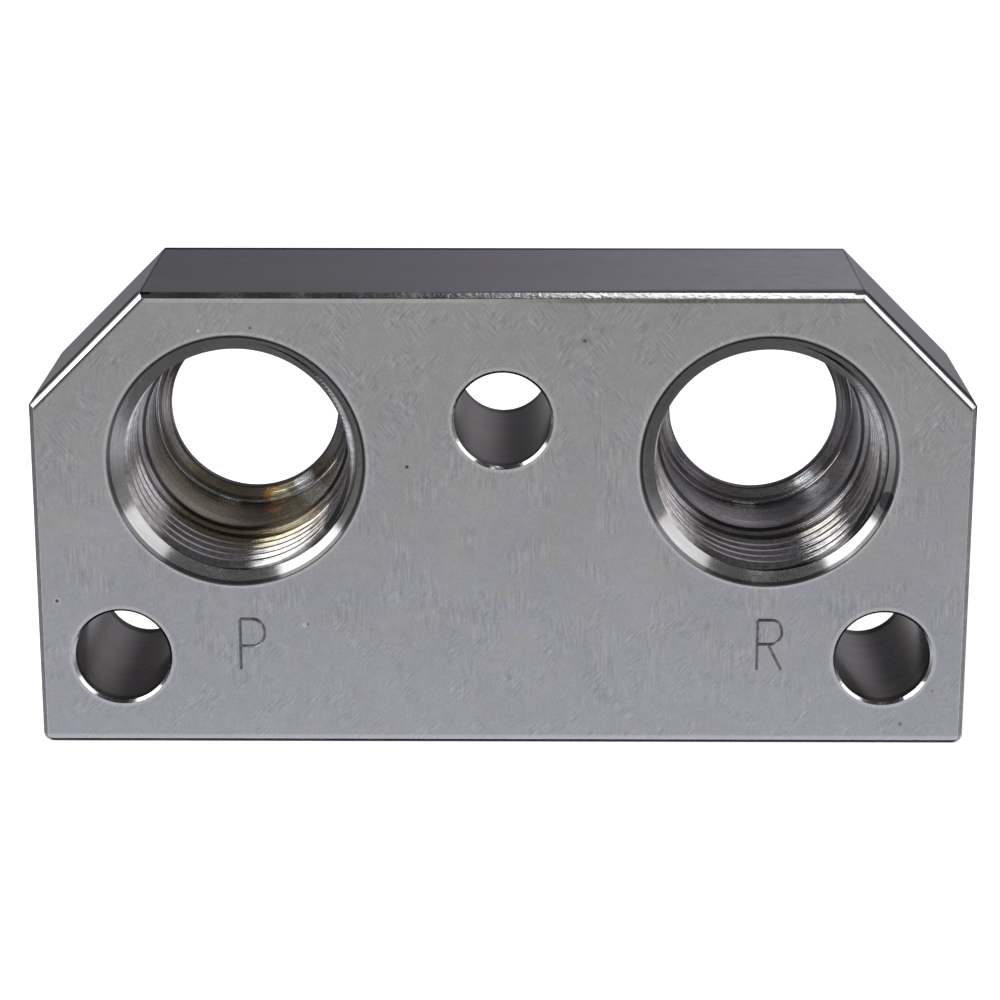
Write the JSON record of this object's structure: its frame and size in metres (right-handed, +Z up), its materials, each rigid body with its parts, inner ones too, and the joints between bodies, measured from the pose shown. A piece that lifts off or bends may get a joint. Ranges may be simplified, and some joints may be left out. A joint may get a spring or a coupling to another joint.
{
  "type": "manifold block",
  "caption": "Ported steel end block for a stacked hydraulic valve bank: threaded ports through a plate with cut shoulders and tie rod holes.",
  "frame": {"origin": "centre of the footprint, on the bottom edge that the block stands on", "axes": "+X along the width to the right seen from the ported front, +Y from the ported front face to the flat back face, +Z up"},
  "size_m": [0.1048, 0.0254, 0.0524],
  "materials": {
    "ground_steel": "ground faces with fine crossed scratches, milled edges, bright turned bores"
  },
  "bodies": {
    "root": {"manifold_block": "ground_steel"}
  },
  "joints": []
}
